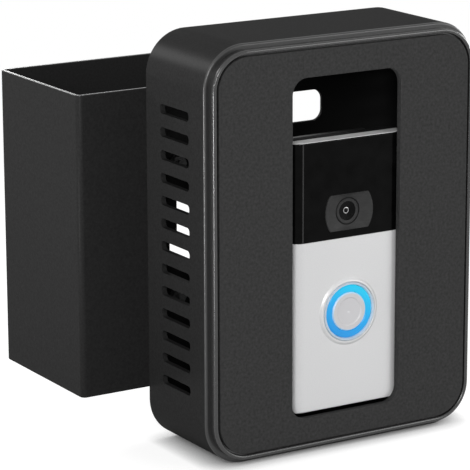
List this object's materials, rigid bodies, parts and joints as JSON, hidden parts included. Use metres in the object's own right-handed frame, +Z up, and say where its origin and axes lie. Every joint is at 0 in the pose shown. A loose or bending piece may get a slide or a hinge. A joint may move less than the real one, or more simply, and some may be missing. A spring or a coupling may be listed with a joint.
{
  "type": "video doorbell in an anti-theft door mount",
  "caption": "Video doorbell behind the tall window of a rounded black case with side vents, on a folded U bracket that clamps round the edge of a door.",
  "frame": {"origin": "centre of the case underside, on the face it stands on", "axes": "+Z up, -Y out of the front of the doorbell, +Y towards the door, +X to the right seen from the front"},
  "size_m": [0.1803, 0.15, 0.193],
  "materials": {
    "case_black": "satin",
    "plate_black": "matte",
    "bracket_black": "matte",
    "zinc_steel": "satin",
    "black_steel": "satin",
    "pad_rubber": "matte",
    "bell_matte": "matte",
    "bell_gloss": "gloss",
    "bell_silver": "satin",
    "camera_grey": "satin",
    "lens_glass": "polished",
    "button_white": "satin",
    "light_blue": "gloss",
    "board_green": "satin",
    "chip_black": "satin",
    "led_lens": "gloss",
    "battery_wrap": "satin",
    "seal_rubber": "matte"
  },
  "bodies": {
    "mount": {"case_shell": "case_black", "front_frame": "case_black", "front_plate": "plate_black", "cover_studs": "zinc_steel", "cover_nuts": "zinc_steel", "back_plate": "bracket_black", "case_screws": "black_steel", "door_bracket": "bracket_black", "bracket_bolts": "black_steel", "bracket_nuts": "zinc_steel", "door_pads": "pad_rubber", "weld_nuts": "zinc_steel", "bell_carrier": "bracket_black", "carrier_rivets": "zinc_steel", "bell_mounting_plate": "bell_matte", "mount_screws": "zinc_steel", "bell_rear_case": "bell_matte", "bell_chassis": "bell_matte", "bell_gasket": "seal_rubber", "bell_case_screws": "zinc_steel", "lens_panel": "bell_gloss", "faceplate": "bell_silver", "security_screw": "black_steel", "camera_bezel": "camera_grey", "lens_barrel": "camera_grey", "lens_front": "lens_glass", "lens_rear": "lens_glass", "image_sensor": "chip_black", "camera_board": "board_green", "ir_leds": "led_lens", "motion_sensor": "zinc_steel", "main_board": "board_green", "battery_pack": "battery_wrap", "speaker": "chip_black", "microphone": "zinc_steel", "usb_port": "zinc_steel", "terminal_screws": "zinc_steel", "button_bezel": "button_white", "light_ring": "light_blue", "led_board": "board_green", "led_chips": "led_lens", "button_gasket": "seal_rubber", "tact_switch": "chip_black"},
    "clamp": {"clamp_plate": "bracket_black", "clamp_pad": "pad_rubber"},
    "screw_upper": {"clamp_screw_upper": "black_steel", "tip_clip_upper": "zinc_steel"},
    "screw_lower": {"clamp_screw_lower": "black_steel", "tip_clip_lower": "zinc_steel"},
    "button": {"button_cap": "button_white"},
    "plunger": {"switch_plunger": "chip_black"}
  },
  "joints": [
    {"name": "clamp_travel", "type": "slide", "parent": "mount", "child": "clamp", "axis": [0, -1, 0], "range_m": [-0.015, 0.01]},
    {"name": "screw_upper_turn", "type": "hinge", "parent": "clamp", "child": "screw_upper", "pos_m": [-0.0659, 0.09, 0.1245], "axis": [0, -1, 0], "range_deg": [-5400, 3600]},
    {"name": "screw_lower_turn", "type": "hinge", "parent": "clamp", "child": "screw_lower", "pos_m": [-0.0659, 0.09, 0.0685], "axis": [0, -1, 0], "range_deg": [-5400, 3600]},
    {"name": "button_press", "type": "slide", "parent": "mount", "child": "button", "axis": [0, 1, 0], "range_m": [0, 0.0008], "stiffness_N_per_m": 1500, "springref_m": -0.0004},
    {"name": "plunger_press", "type": "slide", "parent": "mount", "child": "plunger", "axis": [0, 1, 0], "range_m": [0, 0.0008]}
  ],
  "couplings": [
    {"joint": "screw_upper_turn", "follows": "clamp_travel", "rad_per_m": 6283.2},
    {"joint": "screw_lower_turn", "follows": "clamp_travel", "rad_per_m": 6283.2},
    {"joint": "plunger_press", "follows": "button_press", "ratio": 1}
  ]
}
